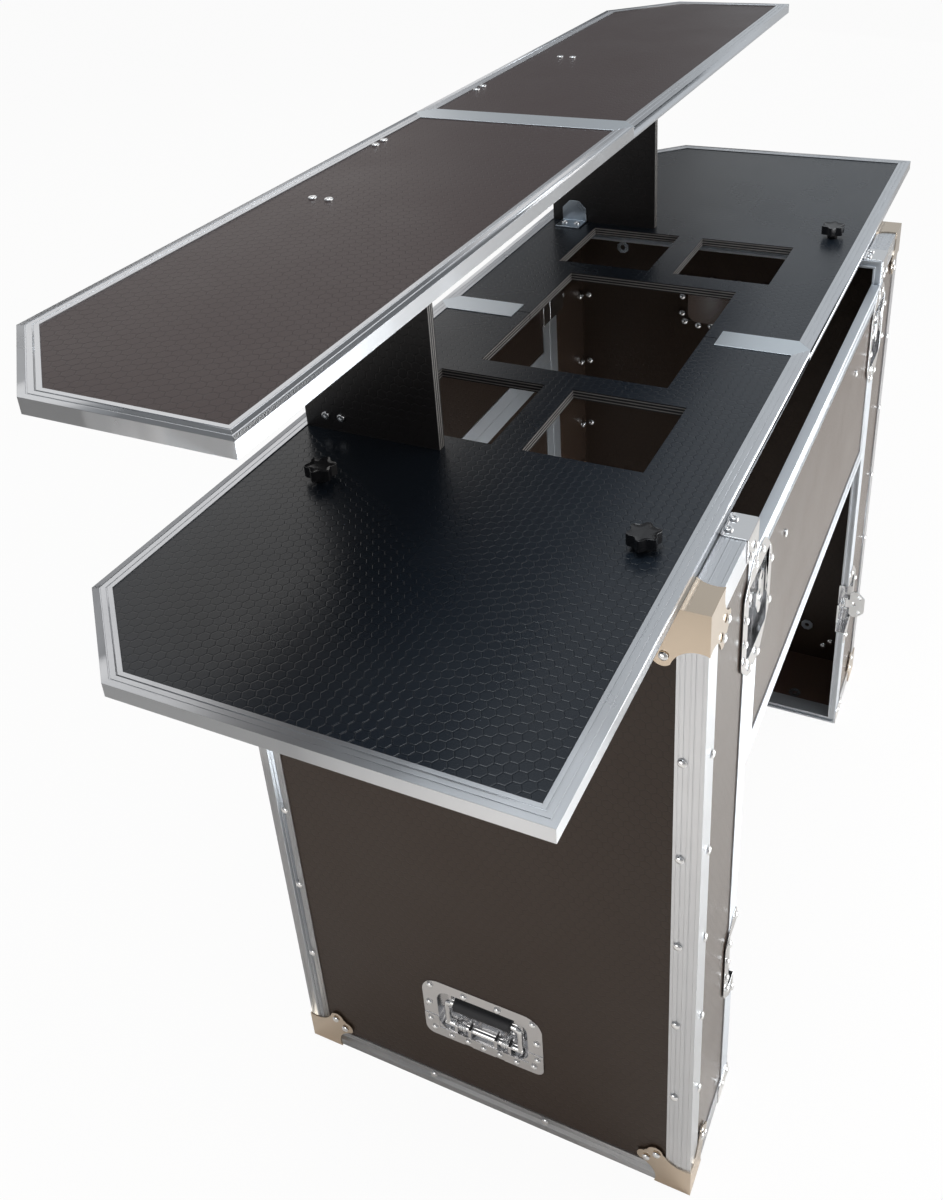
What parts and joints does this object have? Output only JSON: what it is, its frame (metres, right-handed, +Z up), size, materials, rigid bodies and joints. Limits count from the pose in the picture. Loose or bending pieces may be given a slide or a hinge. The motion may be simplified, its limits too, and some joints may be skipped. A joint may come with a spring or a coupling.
{
  "type": "portable bar",
  "caption": "Flight-case style portable bar with two latched pedestals, a worktop with container wells, a raised bar top and removable front and back panels.",
  "frame": {"origin": "centre of the bounding box at floor level, under the corner covers", "axes": "+X along the bar towards the end with the wider-set knobs, -Y towards the customers, +Z up"},
  "size_m": [1.6, 0.573, 1.1604],
  "materials": {
    "black_ply": "satin, hexagon-embossed phenolic film on birch ply",
    "brown_ply": "satin, hexagon-embossed phenolic film on birch ply",
    "aluminium_edge": "ribbed extrusion, satin",
    "chrome_sheet": "polished",
    "zinc_steel": "bright zinc",
    "rivet_steel": "bright",
    "black_knob": "gloss",
    "black_rubber": "matt"
  },
  "bodies": {
    "frame": {"back_panel_board": "brown_ply", "bar_top_board_far": "brown_ply", "bar_top_board_near": "brown_ply", "bar_top_edging": "aluminium_edge", "bolt_heads": "rivet_steel", "bottom_panels": "brown_ply", "claw_nuts": "zinc_steel", "corner_covers": "chrome_sheet", "edge_angles": "aluminium_edge", "end_panels": "brown_ply", "front_panel_boards": "brown_ply", "handle_springs": "rivet_steel", "handle_trays": "chrome_sheet", "joint_strips": "aluminium_edge", "latch_catches": "chrome_sheet", "latch_dishes": "chrome_sheet", "panel_frames": "aluminium_edge", "rim_braces": "zinc_steel", "rim_channels": "aluminium_edge", "rivets": "rivet_steel", "side_panels": "brown_ply", "support_boards": "black_ply", "support_brackets": "zinc_steel", "top_panels": "brown_ply", "worktop_board_far": "black_ply", "worktop_board_near": "black_ply", "worktop_edging": "aluminium_edge"},
    "knob_near_customer": {"knob_near_customer": "black_knob"},
    "knob_near_bartender": {"knob_near_bartender": "black_knob"},
    "knob_far_customer": {"knob_far_customer": "black_knob"},
    "knob_far_bartender": {"knob_far_bartender": "black_knob"},
    "handle_near_low": {"bail_near_low": "rivet_steel", "grip_near_low": "black_rubber"},
    "handle_near_high": {"bail_near_high": "rivet_steel", "grip_near_high": "black_rubber"},
    "handle_far_low": {"bail_far_low": "rivet_steel", "grip_far_low": "black_rubber"},
    "handle_far_high": {"bail_far_high": "rivet_steel", "grip_far_high": "black_rubber"},
    "spindle_back_near_high": {"spindle_back_near_high": "chrome_sheet"},
    "wing_back_near_high": {"wing_back_near_high": "chrome_sheet"},
    "hook_back_near_high": {"hook_back_near_high": "chrome_sheet"},
    "spindle_back_far_high": {"spindle_back_far_high": "chrome_sheet"},
    "wing_back_far_high": {"wing_back_far_high": "chrome_sheet"},
    "hook_back_far_high": {"hook_back_far_high": "chrome_sheet"},
    "spindle_back_far_low": {"spindle_back_far_low": "chrome_sheet"},
    "wing_back_far_low": {"wing_back_far_low": "chrome_sheet"},
    "hook_back_far_low": {"hook_back_far_low": "chrome_sheet"},
    "spindle_front_near_high": {"spindle_front_near_high": "chrome_sheet"},
    "wing_front_near_high": {"wing_front_near_high": "chrome_sheet"},
    "hook_front_near_high": {"hook_front_near_high": "chrome_sheet"},
    "spindle_front_far_high": {"spindle_front_far_high": "chrome_sheet"},
    "wing_front_far_high": {"wing_front_far_high": "chrome_sheet"},
    "hook_front_far_high": {"hook_front_far_high": "chrome_sheet"},
    "spindle_front_far_low": {"spindle_front_far_low": "chrome_sheet"},
    "wing_front_far_low": {"wing_front_far_low": "chrome_sheet"},
    "hook_front_far_low": {"hook_front_far_low": "chrome_sheet"},
    "spindle_front_near_low": {"spindle_front_near_low": "chrome_sheet"},
    "wing_front_near_low": {"wing_front_near_low": "chrome_sheet"},
    "hook_front_near_low": {"hook_front_near_low": "chrome_sheet"}
  },
  "joints": [
    {"name": "knob_turn_near_customer", "type": "hinge", "parent": "frame", "child": "knob_near_customer", "pos_m": [0.462, -0.17255, 0.9], "axis": [0, 0, 1], "range_deg": [0, 1440]},
    {"name": "knob_turn_near_bartender", "type": "hinge", "parent": "frame", "child": "knob_near_bartender", "pos_m": [0.462, 0.17945, 0.9], "axis": [0, 0, 1], "range_deg": [0, 1440]},
    {"name": "knob_turn_far_customer", "type": "hinge", "parent": "frame", "child": "knob_far_customer", "pos_m": [-0.395, -0.17255, 0.9], "axis": [0, 0, 1], "range_deg": [0, 1440]},
    {"name": "knob_turn_far_bartender", "type": "hinge", "parent": "frame", "child": "knob_far_bartender", "pos_m": [-0.395, 0.17945, 0.9], "axis": [0, 0, 1], "range_deg": [0, 1440]},
    {"name": "handle_fold_near_low", "type": "hinge", "parent": "frame", "child": "handle_near_low", "pos_m": [0.515, -0.00955, 0.145], "axis": [0, 1, 0], "range_deg": [0, 90], "stiffness_Nm_per_rad": 0.3, "springref_deg": -20.05},
    {"name": "handle_fold_near_high", "type": "hinge", "parent": "frame", "child": "handle_near_high", "pos_m": [0.515, -0.00955, 0.6926], "axis": [0, 1, 0], "range_deg": [0, 90], "stiffness_Nm_per_rad": 0.3, "springref_deg": -20.05},
    {"name": "handle_fold_far_low", "type": "hinge", "parent": "frame", "child": "handle_far_low", "pos_m": [-0.515, -0.00955, 0.145], "axis": [0, -1, 0], "range_deg": [0, 90], "stiffness_Nm_per_rad": 0.3, "springref_deg": -20.05},
    {"name": "handle_fold_far_high", "type": "hinge", "parent": "frame", "child": "handle_far_high", "pos_m": [-0.515, -0.00955, 0.6926], "axis": [0, -1, 0], "range_deg": [0, 90], "stiffness_Nm_per_rad": 0.3, "springref_deg": -20.05},
    {"name": "spindle_turn_back_near_high", "type": "hinge", "parent": "frame", "child": "spindle_back_near_high", "pos_m": [0.331, 0.25995, 0.768], "axis": [0, 1, 0], "range_deg": [0, 180]},
    {"name": "wing_fold_back_near_high", "type": "hinge", "parent": "spindle_back_near_high", "child": "wing_back_near_high", "pos_m": [0.331, 0.25655, 0.768], "axis": [0, 0, -1], "range_deg": [0, 90]},
    {"name": "hook_draw_back_near_high", "type": "slide", "parent": "frame", "child": "hook_back_near_high", "axis": [1, 0, 0], "range_m": [0, 0.008]},
    {"name": "spindle_turn_back_far_high", "type": "hinge", "parent": "frame", "child": "spindle_back_far_high", "pos_m": [-0.375, 0.25995, 0.768], "axis": [0, 1, 0], "range_deg": [0, 180]},
    {"name": "wing_fold_back_far_high", "type": "hinge", "parent": "spindle_back_far_high", "child": "wing_back_far_high", "pos_m": [-0.375, 0.25655, 0.768], "axis": [0, 0, -1], "range_deg": [0, 90]},
    {"name": "hook_draw_back_far_high", "type": "slide", "parent": "frame", "child": "hook_back_far_high", "axis": [1, 0, 0], "range_m": [0, 0.008]},
    {"name": "spindle_turn_back_far_low", "type": "hinge", "parent": "frame", "child": "spindle_back_far_low", "pos_m": [-0.375, 0.25995, 0.255], "axis": [0, 1, 0], "range_deg": [0, 180]},
    {"name": "wing_fold_back_far_low", "type": "hinge", "parent": "spindle_back_far_low", "child": "wing_back_far_low", "pos_m": [-0.375, 0.25655, 0.255], "axis": [0, 0, -1], "range_deg": [-90, 0]},
    {"name": "hook_draw_back_far_low", "type": "slide", "parent": "frame", "child": "hook_back_far_low", "axis": [1, 0, 0], "range_m": [0, 0.008]},
    {"name": "spindle_turn_front_near_high", "type": "hinge", "parent": "frame", "child": "spindle_front_near_high", "pos_m": [0.331, -0.27905, 0.768], "axis": [0, -1, 0], "range_deg": [0, 180]},
    {"name": "wing_fold_front_near_high", "type": "hinge", "parent": "spindle_front_near_high", "child": "wing_front_near_high", "pos_m": [0.331, -0.27565, 0.768], "axis": [0, 0, 1], "range_deg": [0, 90]},
    {"name": "hook_draw_front_near_high", "type": "slide", "parent": "frame", "child": "hook_front_near_high", "axis": [1, 0, 0], "range_m": [0, 0.008]},
    {"name": "spindle_turn_front_far_high", "type": "hinge", "parent": "frame", "child": "spindle_front_far_high", "pos_m": [-0.375, -0.27905, 0.768], "axis": [0, -1, 0], "range_deg": [0, 180]},
    {"name": "wing_fold_front_far_high", "type": "hinge", "parent": "spindle_front_far_high", "child": "wing_front_far_high", "pos_m": [-0.375, -0.27565, 0.768], "axis": [0, 0, 1], "range_deg": [0, 90]},
    {"name": "hook_draw_front_far_high", "type": "slide", "parent": "frame", "child": "hook_front_far_high", "axis": [1, 0, 0], "range_m": [0, 0.008]},
    {"name": "spindle_turn_front_far_low", "type": "hinge", "parent": "frame", "child": "spindle_front_far_low", "pos_m": [-0.375, -0.27905, 0.255], "axis": [0, -1, 0], "range_deg": [0, 180]},
    {"name": "wing_fold_front_far_low", "type": "hinge", "parent": "spindle_front_far_low", "child": "wing_front_far_low", "pos_m": [-0.375, -0.27565, 0.255], "axis": [0, 0, 1], "range_deg": [0, 90]},
    {"name": "hook_draw_front_far_low", "type": "slide", "parent": "frame", "child": "hook_front_far_low", "axis": [1, 0, 0], "range_m": [0, 0.008]},
    {"name": "spindle_turn_front_near_low", "type": "hinge", "parent": "frame", "child": "spindle_front_near_low", "pos_m": [0.331, -0.27905, 0.255], "axis": [0, -1, 0], "range_deg": [0, 180]},
    {"name": "wing_fold_front_near_low", "type": "hinge", "parent": "spindle_front_near_low", "child": "wing_front_near_low", "pos_m": [0.331, -0.27565, 0.255], "axis": [0, 0, 1], "range_deg": [0, 90]},
    {"name": "hook_draw_front_near_low", "type": "slide", "parent": "frame", "child": "hook_front_near_low", "axis": [1, 0, 0], "range_m": [0, 0.008]}
  ],
  "couplings": [
    {"joint": "spindle_turn_back_near_high", "follows": "hook_draw_back_near_high", "rad_per_m": 392.7},
    {"joint": "spindle_turn_back_far_high", "follows": "hook_draw_back_far_high", "rad_per_m": 392.7},
    {"joint": "spindle_turn_back_far_low", "follows": "hook_draw_back_far_low", "rad_per_m": 392.7},
    {"joint": "spindle_turn_front_near_high", "follows": "hook_draw_front_near_high", "rad_per_m": 392.7},
    {"joint": "spindle_turn_front_far_high", "follows": "hook_draw_front_far_high", "rad_per_m": 392.7},
    {"joint": "spindle_turn_front_far_low", "follows": "hook_draw_front_far_low", "rad_per_m": 392.7},
    {"joint": "spindle_turn_front_near_low", "follows": "hook_draw_front_near_low", "rad_per_m": 392.7}
  ]
}
